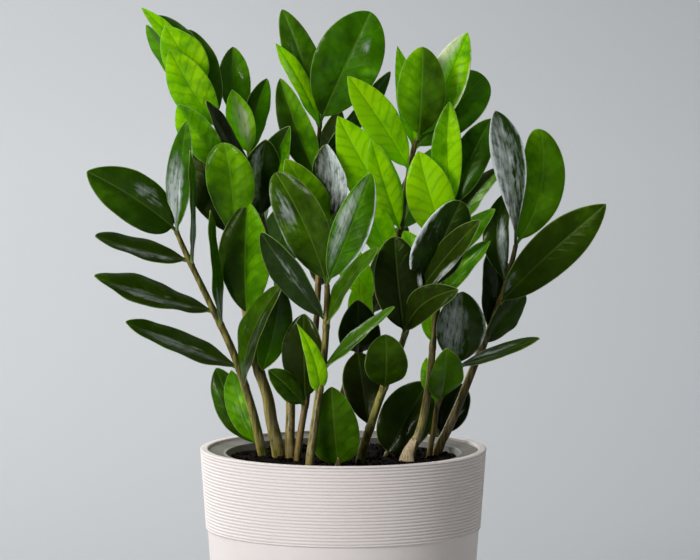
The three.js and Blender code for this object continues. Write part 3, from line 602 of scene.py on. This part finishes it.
def backdrop_finish():
    """Grey paper with painted light falloff, lighter to the left and darker to the right, and
    painted shade towards the viewer; seen from its front only.
    """
    f = Finish("studio_paper")
    side, away = (f.node("ShaderNodeSeparateXYZ", values={"Vector": f.place()}, output=axis)
                  for axis in "XY")
    left, right, black = (0.655, 0.682, 0.700), (0.570, 0.596, 0.612), (0, 0, 0)
    # painted falloff of light: lighter to the left, darker to the right
    colour = f.mix(side.step(-0.15, 0.45), left, right)
    # painted shade on the floor nearer the viewer
    colour = f.mix((1 - away.step(0.6, 2.0)) * 0.30, colour, black)
    paper = f.principled(base_color=colour, roughness=0.9, specular_ior_level=0.1)
    clear = f.node("ShaderNodeBsdfTransparent")
    behind = f.node("ShaderNodeNewGeometry", output="Backfacing")
    return f.finished(f.node("ShaderNodeMixShader", values={0: behind, 1: paper, 2: clear}))


# ---- stems ----
STEM_SIDES = 28
STEM_RINGS = 170
FINE_STEPS = 600  # of a stem's line, where other pieces are placed on it
TIP_LENGTH = 3.0
LEAST_TIP = 0.06  # share of the radius that is left at the very tip
KNOT_SWELL = 0.32  # the knot at each leaflet's base: how far, how long and how high above it
KNOT_LENGTH = 2.2
KNOT_RISE = 0.6
SCAR_DEPTH = 0.12  # and the scar below it
SCAR_LENGTH = 0.9
SCAR_DROP = 1.6
UNEVENNESS = 0.02
PAINTED_LIGHT_SIDE = (-0.95, -0.25, 0.1)  # the way the side of every stem that is painted as lit faces


def stem_line(points, steps):
    """The stem's centre line and radius at even steps, three rows of numbers and one.

    A Catmull-Rom curve: between two points it is the cubic whose slope at each point is half the
    step from the point before to the point after, and each end is carried straight on.
    """
    stations = np.array(points, dtype=float)
    path = stations[:, :3] + (0, 0, RIM_HEIGHT)
    path = np.vstack([2 * path[0] - path[1], path, 2 * path[-1] - path[-2]])
    at = np.linspace(0, len(points) - 1, steps)
    span = np.minimum(at.astype(int), len(points) - 2)
    w = (at - span)[:, None]
    before, here, there, after = (path[span + k] for k in range(4))
    line = ((2 * w ** 3 - 3 * w ** 2 + 1) * here + (3 * w ** 2 - 2 * w ** 3) * there
            + (w ** 3 - 2 * w ** 2 + w) * (there - before) / 2
            + (w ** 3 - w ** 2) * (after - here) / 2)
    return line, np.interp(at, np.arange(len(points)), stations[:, 3])


def point_at_height(line, heights):
    """Where the line passes the heights above the rim."""
    up = np.asarray(heights, dtype=float) + RIM_HEIGHT
    return np.stack([np.interp(up, line[:, 2], line[:, k]) for k in range(3)], axis=-1)


def add_stem(name, points, leaflets, material, rng):
    """A round tube on the stem's line whose radius swells by a bell at each leaflet's base.

    The tip closes as a half ellipse, and the section is a circle with three faint ridges.
    """
    line, radius = stem_line(points, STEM_RINGS)
    tangent = unit(np.gradient(line, axis=0))
    across = unit(np.array([1.0, 0, 0]) - tangent * tangent[:, :1])
    over = np.cross(tangent, across)
    above = line[:, 2] - RIM_HEIGHT
    bases = np.array([row[0] for row in leaflets])
    knot = swell(above[:, None] - bases - KNOT_RISE, KNOT_LENGTH).sum(axis=1).clip(0, 1)
    scar = swell(above[:, None] - bases + SCAR_DROP, SCAR_LENGTH).sum(axis=1).clip(0, 1)
    travel = np.concatenate([[0], np.linalg.norm(np.diff(line, axis=0), axis=1).cumsum()])
    left = ((travel[-1] - travel) / TIP_LENGTH).clip(0, 1)
    radius = radius * (1 + UNEVENNESS * np.sin(above * 0.23 + rng.uniform(0, 6)))
    radius = radius + KNOT_SWELL * knot - SCAR_DEPTH * scar
    radius = radius * np.sqrt(1 - (1 - left) ** 2).clip(LEAST_TIP)
    angle = np.linspace(0, math.tau, STEM_SIDES, endpoint=False)
    section = 1 + UNEVENNESS * np.cos(3 * angle + rng.uniform(0, 6))
    outward = across[:, None] * np.cos(angle)[:, None] + over[:, None] * np.sin(angle)[:, None]
    rings = line[:, None] + outward * (radius[:, None] * section)[..., None]
    values = {
        "brown": STEM_BROWN.get(name, USUAL_BROWN),
        "height": above[:, None],
        "scar": scar[:, None],
        # painted light: how far each point faces the side painted as lit
        "painted_lit_side": outward @ PAINTED_LIGHT_SIDE,
    }
    belongs(add_tubes(name + "_stem", rings[None], material, values), "foliage", name)


# ---- leaflets ----
BLADE_RINGS = 46
HALF_STEPS = 10  # places across each half of a blade
STALK_HALF = 1.2
LEAST_HALF = 0.10
MARGIN_HALF = 0.30  # half the thickness near the margin
MIDRIB_HALF = 0.62
MIDRIB_SPREAD = 1.6
GROOVE_DEPTH = 0.34  # the midrib's groove on the upper face
GROOVE_SPREAD = 0.55
KEEL_HEIGHT = 0.45  # its keel on the lower face
KEEL_SPREAD = 0.8
CREASE = 0.16  # share of the half-width over which the fold is rounded
BULGE = 0.30  # these three are shares of the half-width
WAVE_HEIGHT = 0.07
RIPPLE_HEIGHT = 0.03
DENT_DEPTH = 0.22
DENT_LENGTHS = 4.1, 9.7
CURL = 3.0
BOW = 2.0
EDGE_SHEEN = 0.11  # how far a painted highlight line along a margin reaches in


def outline(u, widest, neck, blunt):
    """Half-width of a blade at u along it, as a share of its widest: (1 - (1 - t)^2)^m.

    t runs from 0 at the end to 1 at the widest place, on either side of it. The power m is half
    for a round end like an ellipse's and more for one that is drawn out.
    """
    base = (u / widest).clip(0, 1)
    tip = ((1 - u) / (1 - widest)).clip(0, 1)
    near = (1 - (1 - base) ** 2) ** neck
    far = (1 - (1 - tip) ** 2) ** blunt
    return np.where(u < widest, near, far)


def blade_section():
    """Places across a blade from -1 to 1 over its upper face and back along the lower one.

    Each half is a smooth step, so the places crowd at the midrib and the margin.
    """
    w = np.linspace(0, 1, HALF_STEPS)
    half = w * w * (3 - 2 * w)
    upper = np.concatenate([-half[:0:-1], half])
    v = np.concatenate([upper, upper[-2:0:-1]])
    face = np.concatenate([np.ones(len(upper)), -np.ones(len(upper) - 2)])
    face[[0, len(upper) - 1]] = 0
    return v, face


def look(shade, own=None):
    """How a leaflet looks: what its row says, with the usual values filled in."""
    usual = {
        "widest": 0.50,  # where along the blade it is widest
        "neck": 0.72,  # the power of its base in outline(), and then that of its tip
        "blunt": 0.62 + 0.22 * shade,
        "sway": 0,  # bow of the midrib to its own right, in millimetres
        "twist": 0,  # degrees that the blade turns from base to tip
        "wave": 1,
        "tone": 0,  # lighter (+) or darker (-) than its row says
        "painted_half_shade": 0,  # painted light (+) or painted shade (-) on the right half
        "slope": 0.10,  # painted shade along the blade: how much lighter the tip is painted than the base
        "painted_sheen": (0, 0.5, 0, 0.35, 0.5),  # painted sheen of highlights and reflections: strength, middle and reach, along and across
        "painted_left_glint": 0,  # strength of a painted highlight line along a margin
        "painted_right_glint": 0,
        "wax": 1,  # how glossy
        "olive": 0.2,  # how far its green leans to olive
        "rim": 0.6,  # how pale its margin is, partly its own pale edge and partly painted rim light
        "stalk": 4.5,  # length of the short stalk before the blade
    }
    return usual | (own or {})


def add_leaflets(name, points, leaflets, material, rng):
    """Every leaflet of a frond: a thin closed blade on a straight axis from stem to tip.

    Along the axis at u and across it at v, a point lies v times the outline to the side. It is
    lifted by arch times 4u(1 - u), by |v| times the half-width times the fold's sine, by a bulge
    of each half, by a slow wave and a quicker ripple that grow towards the margin, by shallow
    dents and by a curl before the tip. The midrib bows sideways. The two faces lie half the
    thickness either way, less the groove or more the keel at v = 0.
    """
    rows = np.array([row[:9] for row in leaflets], dtype=float)
    width, turn, fold, arch, shade = rows[:, 4:].T[..., None, None]
    looks = [look(*row[8:]) for row in leaflets]

    def each(label):
        return np.array([one[label] for one in looks], dtype=float).T[..., None, None]

    line, _ = stem_line(points, FINE_STEPS)
    base = point_at_height(line, rows[:, 0])
    span = rows[:, 1:4] + (0, 0, RIM_HEIGHT) - base
    length = np.linalg.norm(span, axis=1)[:, None, None]
    axis = unit(span)[:, None, None]
    facing = unit(np.array([0, -1.0, 0]) + axis * axis[..., 1:2])

    v, face = blade_section()
    v, face = v[None, None, :], face[None, None, :]
    q = ((1 - np.cos(np.linspace(0, math.pi, BLADE_RINGS))) / 2)[None, :, None]
    along = q * length
    stalk = each("stalk")
    u = ((along - stalk) / (length - stalk)).clip(0, 1)
    turning = np.radians(turn + each("twist") * (q - 0.5))[..., None]
    normal = facing * np.cos(turning) + np.cross(axis, facing) * np.sin(turning)
    side = np.cross(axis, normal)
    fold = np.radians(fold)

    (wave_pace, wave_start, plump, wave_gain, curl, bow, ripple_pace, ripple_start, dent_start,
     cross_start) = rng.uniform(0, 1, (10, len(rows), 1, 1))
    shape = outline(u, each("widest"), each("neck"), each("blunt"))
    blade = shape * width / 2
    half = (blade ** 4 + (STALK_HALF * (1 - u) ** 3) ** 4) ** 0.25 + LEAST_HALF
    edge = np.abs(v)
    reach = edge * half
    bend = 4 * q * (1 - q)

    ridge = swell(reach, MIDRIB_SPREAD) * (1 - 0.6 * u)
    thick = MARGIN_HALF + (MIDRIB_HALF - MARGIN_HALF) * ridge
    thick = thick + (STALK_HALF - thick) * (1 - u) ** 16
    thick = thick * np.sqrt((1 - edge ** 8).clip(0))
    groove = GROOVE_DEPTH * swell(reach, GROOVE_SPREAD) * (u * 6).clip(0, 1) * (1 - u ** 3)
    keel = KEEL_HEIGHT * swell(reach, KEEL_SPREAD) * (1 - u ** 2)
    offset = np.where(face > 0, thick - groove, np.where(face < 0, -thick - keel, 0))

    crease = np.sqrt(v ** 2 + CREASE ** 2) - CREASE
    wave = np.sin(math.tau * (u * (1.1 + 0.9 * wave_pace) + wave_start + 0.3 * np.sign(v)))
    ripple = np.sin(math.tau * (u * (2.6 + 1.5 * ripple_pace) + ripple_start + 0.4 * v))
    short, long = DENT_LENGTHS
    dents = (np.sin(along / short + v * 3 + dent_start * 9)
             * np.sin(along / long - v * 4 + cross_start * 9))
    lift = (arch * bend + crease * half * np.sin(fold)
            + BULGE * half * edge * (1 - edge) * (0.5 + plump)
            + wave * edge ** 2.2 * half * WAVE_HEIGHT * (0.6 + wave_gain) * each("wave")
            + ripple * edge ** 3 * half * RIPPLE_HEIGHT * each("wave")
            + dents * DENT_DEPTH * edge * shape
            - CURL * (curl - 0.3) * q ** 2 * bend)
    sway = ((bow - 0.5) * BOW + each("sway")) * bend
    x = (v * half * np.cos(fold) + sway)[..., None]
    z = (lift + offset)[..., None]
    spots = base[:, None, None] + axis * along[..., None] + side * x + normal * z

    # Painted sheen: a patch of painted highlight, and painted highlight lines along the margins.
    strength, middle, aside, reach_along, reach_across = each("painted_sheen")
    patch = strength * swell(u - middle, reach_along) * swell(v - aside, reach_across)
    lines = (each("painted_left_glint") * swell(v + 1, EDGE_SHEEN)
             + each("painted_right_glint") * swell(v - 1, EDGE_SHEEN))
    values = {
        "along": along - stalk,
        "across": v * half,
        "margin": (1 - edge) * half,
        "under": (face < 0).astype(float),
        # the tone carries painted shade: one half painted lighter or darker, and one end lighter
        # than the other
        "tone": shade + each("tone") + each("painted_half_shade") * np.tanh(v * 6) + each("slope") * (u - 0.55),
        "painted_sheen": (patch + lines * (4 * u * (1 - u)) ** 0.5) * (face >= 0),
        "wax": each("wax"),
        "olive": each("olive"),
        "rim": each("rim"),
    }
    belongs(add_tubes(name + "_leaflets", spots, material, values), "foliage", name)


# ---- planter, liner and soil ----
TURNED_SEGMENTS = 240


def turned(profile, segments=TURNED_SEGMENTS):
    """A profile of [radius, height] points, in order, swept round the Z axis as one ring each."""
    radius, height = np.asarray(profile, dtype=float).T[..., None]
    angle = np.linspace(0, math.tau, segments, endpoint=False)
    x = radius * np.cos(angle)
    return np.stack([x, radius * np.sin(angle), np.broadcast_to(height, x.shape)], axis=-1)


RIM_RADIUS = 99.9
TAPER = 0.07
COLLAR_HEIGHT = 56
COLLAR_STEP = 1.2  # how far the collar stands out
WALL = 4
FLOOR = 5
LIP = 5.5
RIB_COUNT = 24
RIB_STEPS = 9  # points to a groove
RIB_DEPTH = 0.55
RIB_PITCH = 2.3
LEDGE_DROP = 5
LEDGE_WIDTH = 4
LEDGE_EDGE = 3  # height of the ledge's edge, and then of all of it with its sloping underside
LEDGE_HEIGHT = 9
HUB = 0.5  # radius of the small flat face that closes a profile on its axis
ARC_STEPS = 5  # points to a bend
BEVEL = 0.4  # bend of a plain edge


def outer_radius(height):
    return RIM_RADIUS - (RIM_HEIGHT - height) * TAPER


def inner_radius(height):
    return outer_radius(height) - COLLAR_STEP - WALL


def ribs():
    """The collar's profile upwards: flat lands between grooves, each a raised-cosine dip."""
    phase = np.arange(RIB_COUNT * RIB_STEPS) / RIB_STEPS
    height = RIM_HEIGHT - COLLAR_HEIGHT + 0.5 + phase * RIB_PITCH
    dip = ((np.cos(math.tau * (phase - 0.5)) + 1) / 2) ** 2.2
    return np.stack([outer_radius(height) - RIB_DEPTH * dip, height, dip], axis=-1)


def rounded(corner, start, end, radius):
    """An arc-like bend: points on a quadratic curve that leaves the corner out by the radius."""
    corner, start, end = (np.array(p, dtype=float) for p in (corner, start, end))
    first = corner + unit(start - corner) * radius
    last = corner + unit(end - corner) * radius
    t = np.linspace(0, 1, ARC_STEPS)[:, None]
    return (1 - t) ** 2 * first + 2 * t * (1 - t) * corner + t ** 2 * last


def bent_profile(corners):
    """Straight lines through [radius, height, bend] corners, each rounded by its bend."""
    parts = []
    for i, (radius, height, bend) in enumerate(corners):
        before = corners[i - 1][:2]
        after = corners[(i + 1) % len(corners)][:2]
        parts.append(rounded((radius, height), before, after, bend) if bend
                     else np.array([[radius, height]]))
    return np.vstack(parts)


def add_planter(material):
    """The planter's wall, swept from the middle of its foot up the outside and down the inside."""
    top = RIM_HEIGHT
    collar = top - COLLAR_HEIGHT
    ledge = top - LEDGE_DROP
    below = ledge - LEDGE_HEIGHT
    mouth = RIM_RADIUS - LIP
    foot = bent_profile([
        (HUB, 0, 0),
        (outer_radius(0) - COLLAR_STEP, 0, 2.0),
        (outer_radius(collar) - COLLAR_STEP, collar, 0.25),
        (outer_radius(collar), collar + 0.3, 0.25),
        (outer_radius(collar + 2), collar + 2, 0),
    ])[:-1]
    rim = bent_profile([
        (outer_radius(top - 1.2), top - 1.2, 0),
        (RIM_RADIUS, top, 1.1),
        (mouth, top, 0.9),
        (mouth, ledge, BEVEL),
        (mouth - LEDGE_WIDTH, ledge, BEVEL),
        (mouth - LEDGE_WIDTH, ledge - LEDGE_EDGE, 0.5),
        (inner_radius(below), below, 1),
        (inner_radius(FLOOR), FLOOR, 3),
        (HUB, FLOOR, 0),
    ])
    collar_ribs = ribs()
    profile = np.vstack([foot, collar_ribs[:, :2], rim])
    dip = np.concatenate([np.zeros(len(foot)), collar_ribs[:, 2], np.zeros(len(rim))])
    piece = add_tubes("planter_body", turned(profile)[None], material, {"groove": dip[:, None]})
    belongs(piece, "planter", "planter")


OPENING_RADIUS = 81.5
SHOULDER_DROP = 3
LINER_WALL = 2
LINER_DEPTH = 150
DRAIN_RADIUS = 6
GAP = 0.3  # between pieces that fit into each other


def liner_radius(depth):
    return OPENING_RADIUS - depth * TAPER


def add_liner(material):
    """The liner, swept from its drain hole up the outside, over the shoulder and down inside."""
    top = RIM_HEIGHT
    flange = RIM_RADIUS - LIP - GAP
    seat = top - LEDGE_DROP + GAP
    mouth = top - SHOULDER_DROP
    bottom = top - LINER_DEPTH
    low = liner_radius(LINER_DEPTH)
    profile = bent_profile([
        (DRAIN_RADIUS, bottom, 0.3),
        (low + LINER_WALL, bottom, 2),
        (OPENING_RADIUS + LINER_WALL, mouth - 4, 0.6),
        (flange - LEDGE_WIDTH - 1, seat, BEVEL),
        (flange, seat, 0.3),
        (flange, seat + 3, 0.7),
        (flange - 2.6, seat + 2.5, BEVEL),
        (OPENING_RADIUS + 2.2, mouth - 0.4, BEVEL),
        (OPENING_RADIUS + 1, mouth, BEVEL),
        (OPENING_RADIUS, mouth - 0.5, BEVEL),
        (low, bottom + LINER_WALL, 2),
        (DRAIN_RADIUS, bottom + LINER_WALL, 0.3),
    ])
    radius, height = profile.T
    # where the painted highlight lies: on the edge of the opening
    painted_edge_highlight = swell(radius - OPENING_RADIUS - 0.8, 1.0) * (height > mouth - 1.5)
    piece = add_tubes("liner_shell", turned(profile)[None], material, {"edge": painted_edge_highlight[:, None]},
                      looped=True)
    belongs(piece, "liner", "liner")


SOIL_DROP = 8
SOIL_RINGS = 60
SOIL_SEGMENTS = 200
HEAP_WAVES = 5, 30, 14  # the shortest, the longest and how many
HEAP_STEEPNESS = 0.012
CRUMB_COUNT = 620
CRUMB_RINGS = 6
CRUMB_SIDES = 8
CRUMB_RADIUS = 0.5, 1.6
LUMP_SHARE = 0.07
LUMP_GROWTH = 1.8  # how much larger a lump is than a crumb


def heaps(x, y, rng):
    """A sum of cosines of random direction, with waves from 5 to 30 mm, about 1 mm high."""
    total = np.zeros_like(x)
    for wave in np.geomspace(*HEAP_WAVES):
        heading, phase = rng.uniform(0, math.tau, 2)
        reach = x * math.cos(heading) + y * math.sin(heading)
        total += np.cos(math.tau * reach / wave + phase) * wave * HEAP_STEEPNESS
    return total


def add_soil(material, rng):
    """The soil: a turned block whose top is lifted into heaps."""
    top = RIM_HEIGHT - SOIL_DROP
    bottom = RIM_HEIGHT - LINER_DEPTH + LINER_WALL + GAP
    edge = liner_radius(SOIL_DROP) - GAP
    surface = np.linspace(edge - 0.5, HUB + 0.1, SOIL_RINGS)
    profile = np.vstack([
        [[HUB, bottom], [liner_radius(LINER_DEPTH - LINER_WALL) - GAP, bottom], [edge, top - 1]],
        np.stack([surface, np.full(len(surface), top)], axis=-1),
    ])
    points = turned(profile, SOIL_SEGMENTS)
    lift = heaps(points[..., 0], points[..., 1], rng)
    lift[:3] = 0
    points[..., 2] += lift
    belongs(add_tubes("soil_bed", points[None], material), "soil", "soil")


def add_crumbs(material, rng):
    """Loose crumbs on the soil: small balls, each squashed and dented by its own cosines."""
    radius = (liner_radius(SOIL_DROP) - 3) * np.sqrt(rng.uniform(0, 1, CRUMB_COUNT))
    heading = rng.uniform(0, math.tau, CRUMB_COUNT)
    size = rng.uniform(*CRUMB_RADIUS, CRUMB_COUNT)
    size = size * np.where(rng.uniform(0, 1, CRUMB_COUNT) > 1 - LUMP_SHARE, LUMP_GROWTH, 1)
    centre = np.stack([radius * np.cos(heading), radius * np.sin(heading),
                       RIM_HEIGHT - SOIL_DROP + size * 0.3], axis=-1)
    polar = np.linspace(0.12, math.pi - 0.12, CRUMB_RINGS)[None, :, None]
    around = (np.arange(CRUMB_SIDES) * math.tau / CRUMB_SIDES)[None, None, :]
    phase = rng.uniform(0, math.tau, (CRUMB_COUNT, 1, 1))
    dent = 1 + 0.22 * np.cos(2 * around + phase) + 0.18 * np.cos(3 * polar + 2 * phase)
    squash = rng.uniform(0.6, 1.2, (CRUMB_COUNT, 3))
    ball = np.stack([np.sin(polar) * np.cos(around) * dent, np.sin(polar) * np.sin(around) * dent,
                     -np.cos(polar) * dent * np.ones_like(around)], axis=-1)
    spots = centre[:, None, None] + ball * (size[:, None] * squash)[:, None, None]
    belongs(add_tubes("soil_crumbs", spots, material), "soil")


# ---- dry sheaths at the stems' feet ----
# [frond, height of its foot, height, heading in degrees, how far round it wraps, flare]
SHEATHS = [
    ["frond_right_middle", -8, 17, 215, 190, 3.0],
]
SHEATH_THICKNESS = 0.35
SHEATH_RINGS = 14
SHEATH_STEPS = 20
SHEATH_FALL = 0.55  # how much lower its sides are than its middle
SHEATH_RAGGED = 0.10
SHEATH_GAP = 0.5


def add_sheath(index, spec, material, rng):
    """A papery strip wrapped part of the way round a stem, higher in its middle than its sides."""
    name, foot, height, heading, wrap, flare = spec
    points = next(stem for label, stem, _ in FRONDS if label == name)
    line, radii = stem_line(points, FINE_STEPS)
    t = np.linspace(0, 1, SHEATH_RINGS)[:, None]
    w = np.linspace(-1, 1, SHEATH_STEPS)[None, :]
    ragged = SHEATH_RAGGED * np.sin(7 * w + rng.uniform(0, 6))
    rise = foot + t * height * (1 - SHEATH_FALL * np.abs(w) ** 1.6 + ragged)
    centre = point_at_height(line, rise)
    stem_radius = np.interp(rise + RIM_HEIGHT, line[:, 2], radii)
    angle = math.radians(heading) + w * math.radians(wrap) / 2
    away = stem_radius + SHEATH_GAP + flare * (1 - t) ** 2 * 0.5 + 0.5 * t ** 3 * np.cos(9 * w)
    out = np.stack([np.cos(angle), np.sin(angle), np.zeros_like(angle)], axis=-1)
    outer = centre + out * (away + SHEATH_THICKNESS)[..., None]
    inner = centre + out * away[..., None]
    loop = np.concatenate([outer, inner[:, ::-1]], axis=1)
    belongs(add_tubes(f"sheath_{index}", loop[None], material), "rhizome")


# ---- the studio ----
FLOOR_NEAR = -20.0
BEND_START = 0.6
BEND_RADIUS = 4.0
BEND_STEPS = 48
WALL_TOP = 6.0
HALF_WIDTH = 12.0
CAMERA_PLACE = (0.0047, -2.975, 0.587)
CAMERA_TILT = 5.37  # degrees that it looks down
SENSOR_WIDTH = 36
LENS = 221
AIR_STRENGTH = 0.10, 0.50  # from the viewer's side, and from behind the plant
AIR_COLOUR = (1.0, 0.99, 0.98, 1)
# A lamp: name, place, target, width and height, watts, colour.
LAMPS = [
    ("window_left", (-1.76, -2.22, 1.5), (0, 0, 0.34), (1.0, 1.1), 70, (1.0, 0.985, 1.0)),
    ("strip_behind_left", (-1.7, 0.9, 1.5), (0, 0, 0.40), (0.6, 1.4), 20, (0.97, 0.98, 1.0)),
    ("top_back", (0.0, 0.5, 2.4), (0, 0, 0.35), (1.0, 0.8), 12, (1, 1, 1)),
    ("wall_wash", (-2.6, 3.2, 2.3), (0.2, 2.0, 0.4), (1.0, 1.0), 60, (1, 1, 1)),
]


def add_backdrop(material):
    """Floor that bends up into a wall: straight, a quarter circle, straight, carried along X."""
    turn = np.linspace(0, math.pi / 2, BEND_STEPS)
    wall = BEND_START + BEND_RADIUS
    y = np.array([FLOOR_NEAR, *(BEND_START + BEND_RADIUS * np.sin(turn)), wall])
    z = np.array([0, *(BEND_RADIUS * (1 - np.cos(turn))), WALL_TOP])
    count = len(y)
    sides = [np.stack([np.full(count, x), y, z], axis=-1) for x in (-HALF_WIDTH, HALF_WIDTH)]
    faces = [[i, count + i, count + i + 1, i + 1] for i in range(count - 1)]
    backdrop = add_mesh("studio_floor", np.vstack(sides) / MM, faces, material)


def add_lamp(name, place, target, size, power, colour):
    """A soft rectangular lamp at a place, turned to the target."""
    lamp = bpy.data.lights.new(name, "AREA")
    lamp.shape = "RECTANGLE"
    lamp.size, lamp.size_y = size
    lamp.energy = power
    lamp.color = colour
    holder = bpy.data.objects.new(name, lamp)
    holder.location = place
    aim = np.array(target, dtype=float) - np.array(place, dtype=float)
    pitch = math.atan2(math.hypot(aim[0], aim[1]), -aim[2])
    holder.rotation_euler = (pitch, 0, math.atan2(-aim[0], aim[1]))
    bpy.context.scene.collection.objects.link(holder)


def add_camera():
    """The photograph's viewpoint: three metres in front, a little above, with a long lens."""
    lens = bpy.data.cameras.new("camera")
    lens.sensor_width = SENSOR_WIDTH
    lens.lens = LENS
    lens.clip_end = 100
    camera = bpy.data.objects.new("camera", lens)
    camera.location = CAMERA_PLACE
    camera.rotation_euler = (math.radians(90 - CAMERA_TILT), 0, 0)
    bpy.context.scene.collection.objects.link(camera)
    bpy.context.scene.camera = camera


def add_world():
    """Studio air: grey light from all round, stronger from behind the plant."""
    world = bpy.data.worlds.new("studio_air")
    world.use_nodes = True
    air = Nodes(world.node_tree)
    way = air.node("ShaderNodeTexCoord", output="Generated")
    away = air.node("ShaderNodeSeparateXYZ", values={"Vector": way}, output="Y")
    front, rear = AIR_STRENGTH
    values = {"Color": AIR_COLOUR, "Strength": front + (rear - front) * away.step(-0.9, 0.4)}
    glow = air.node("ShaderNodeBackground", values=values)
    air.node("ShaderNodeOutputWorld", values={"Surface": glow}, output=None)
    bpy.context.scene.world = world


# ---- assembly ----
rng = np.random.default_rng(SEED)
add_camera()
add_world()
add_backdrop(backdrop_finish())
for lamp in LAMPS:
    add_lamp(*lamp)

add_planter(planter_finish())
add_liner(liner_finish())
soil = soil_finish()
add_soil(soil, rng)
add_crumbs(soil, rng)
tuber = rhizome_finish()
for label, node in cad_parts.items():
    if label.startswith("rhizome"):
        node.data.materials.clear()
        node.data.materials.append(tuber)

leaf, bark, paper = leaf_finish(), stem_finish(), sheath_finish()
for label, stem, leaflets in FRONDS:
    add_stem(label, stem, leaflets, bark, rng)
    add_leaflets(label, stem, leaflets, leaf, rng)
for number, sheath in enumerate(SHEATHS):
    add_sheath(number, sheath, paper, rng)

bpy.context.scene.view_settings.view_transform = "Standard"
bpy.context.scene.view_settings.look = "None"
